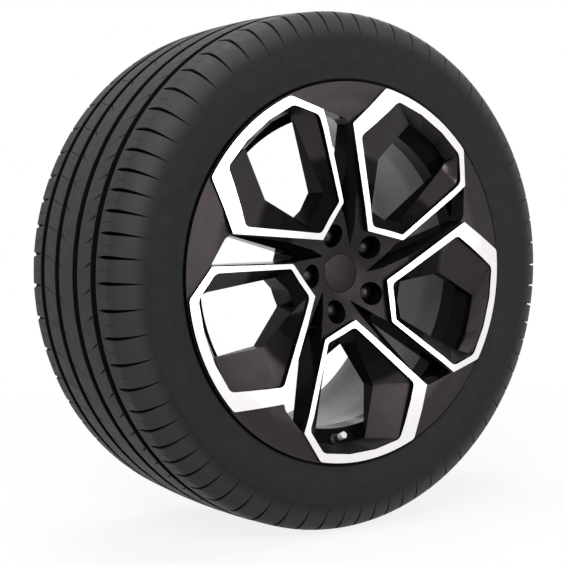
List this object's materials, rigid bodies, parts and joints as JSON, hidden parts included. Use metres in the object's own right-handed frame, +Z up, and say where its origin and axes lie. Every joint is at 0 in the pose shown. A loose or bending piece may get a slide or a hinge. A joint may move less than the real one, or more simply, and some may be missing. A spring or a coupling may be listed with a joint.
{
  "type": "wheel and tyre assembly",
  "caption": "Car alloy wheel with hollow skewed spoke loops, black paint and bright machined faces, fitted with a grooved low-profile tyre, bolts, centre cap and valve.",
  "frame": {"origin": "centre of the hub's mounting face, on the wheel axis", "axes": "+Y along the wheel axis towards the car, +Z up, the outboard face looks along -Y"},
  "size_m": [0.736, 0.2999, 0.7359],
  "materials": {
    "tyre_rubber": "matte charcoal rubber",
    "wheel_paint": "gloss black paint with bright diamond-cut loops and a silver-grey barrel",
    "cap_plastic": "satin black",
    "cover_plastic": "gloss black",
    "spring_steel": "bright wire",
    "bolt_steel": "zinc flake",
    "valve_rubber": "black",
    "valve_brass": "plain",
    "valve_cap_plastic": "pale grey"
  },
  "bodies": {
    "wheel": {"alloy_wheel": "wheel_paint", "tyre": "tyre_rubber", "centre_cap": "cap_plastic", "cap_spring_ring": "spring_steel", "wheel_bolts": "bolt_steel", "bolt_cover_1": "cover_plastic", "bolt_cover_2": "cover_plastic", "bolt_cover_3": "cover_plastic", "bolt_cover_4": "cover_plastic", "bolt_cover_5": "cover_plastic", "valve_stem": "valve_rubber", "valve_tube": "valve_brass", "valve_core": "valve_brass"},
    "valve_plunger": {"valve_pin": "valve_brass"},
    "cap_washer": {"valve_cap_seal": "valve_rubber"},
    "cap": {"valve_cap": "valve_cap_plastic"}
  },
  "joints": [
    {"name": "valve_pin_press", "type": "slide", "parent": "wheel", "child": "valve_plunger", "axis": [-0.0132, 0.9175, -0.3974], "range_m": [0, 0.0012], "stiffness_N_per_m": 1500},
    {"name": "cap_lift", "type": "slide", "parent": "wheel", "child": "cap_washer", "axis": [0.0132, -0.9175, 0.3974], "range_m": [0, 0.00357]},
    {"name": "cap_turn", "type": "hinge", "parent": "cap_washer", "child": "cap", "pos_m": [-0.00796, -0.04235, -0.23991], "axis": [0.0132, -0.9175, 0.3974], "range_deg": [0, 1620]}
  ],
  "couplings": [
    {"joint": "cap_turn", "follows": "cap_lift", "rad_per_m": 7913.3}
  ]
}
